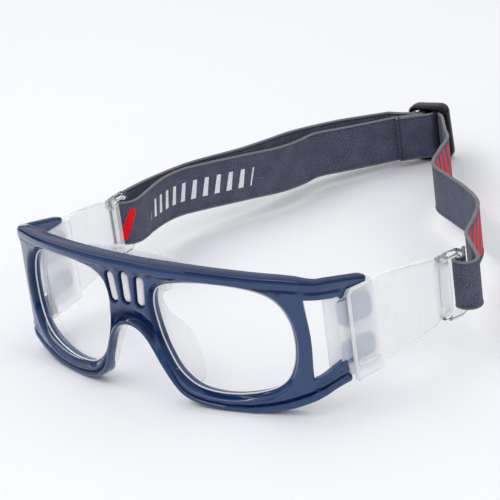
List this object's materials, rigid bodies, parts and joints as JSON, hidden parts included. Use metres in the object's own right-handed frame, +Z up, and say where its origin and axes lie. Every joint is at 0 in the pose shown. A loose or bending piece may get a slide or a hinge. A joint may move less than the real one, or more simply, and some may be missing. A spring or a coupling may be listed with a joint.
{
  "type": "sports protective goggles",
  "caption": "Wrap-around sports goggles with clear lenses, a silicone nose pad, flexible side arms and an elastic head strap with a slider.",
  "frame": {"origin": "middle of the footprint, on the surface that the goggles stand on", "axes": "+X to the right as seen from in front, -Y forward through the lenses, +Z up"},
  "size_m": [0.1714, 0.2396, 0.0512],
  "materials": {
    "frame_plastic": "glossy navy injection-moulded plastic",
    "lens": "clear hard-coated polycarbonate",
    "silicone": "translucent satin silicone",
    "temple_plastic": "frosted flexible plastic",
    "ring_plastic": "clear hard plastic",
    "strap_webbing": "knitted elastic webbing with printed marks",
    "slider_plastic": "glossy black"
  },
  "bodies": {
    "frame": {"front_frame": "frame_plastic", "lens_right": "lens", "lens_left": "lens", "nose_bridge_pad": "silicone", "temple_clip_right": "temple_plastic", "temple_clip_left": "temple_plastic", "strap_right": "strap_webbing", "strap_outer_left": "strap_webbing", "strap_inner_left": "strap_webbing"},
    "temple_right": {"temple_right": "temple_plastic"},
    "temple_left": {"temple_left": "temple_plastic"},
    "ring_right": {"strap_ring_right": "ring_plastic", "strap_eye_right": "strap_webbing"},
    "ring_left": {"strap_ring_left": "ring_plastic", "strap_eye_left": "strap_webbing"},
    "slider": {"strap_slider": "slider_plastic", "strap_weave": "strap_webbing", "strap_fold": "strap_webbing"}
  },
  "joints": [
    {"name": "temple_right_flex", "type": "hinge", "parent": "frame", "child": "temple_right", "pos_m": [0.07322, -0.07887, 0.024], "axis": [0, 0, 1], "range_deg": [-8, 35], "stiffness_Nm_per_rad": 0.02, "deforming": ["strap_right"]},
    {"name": "temple_left_flex", "type": "hinge", "parent": "frame", "child": "temple_left", "pos_m": [-0.0655, -0.07887, 0.024], "axis": [0, 0, -1], "range_deg": [-8, 35], "stiffness_Nm_per_rad": 0.02, "deforming": ["strap_outer_left", "strap_inner_left"]},
    {"name": "ring_right_swivel", "type": "hinge", "parent": "temple_right", "child": "ring_right", "pos_m": [0.07847, -0.04908, 0.02325], "axis": [0, 0, 1], "range_deg": [-20, 20]},
    {"name": "ring_left_swivel", "type": "hinge", "parent": "temple_left", "child": "ring_left", "pos_m": [-0.07075, -0.04908, 0.02325], "axis": [0, 0, -1], "range_deg": [-20, 20]},
    {"name": "slider_travel", "type": "slide", "parent": "frame", "child": "slider", "axis": [0.9703, 0.2419, 0], "range_m": [-0.006, 0.006]}
  ]
}
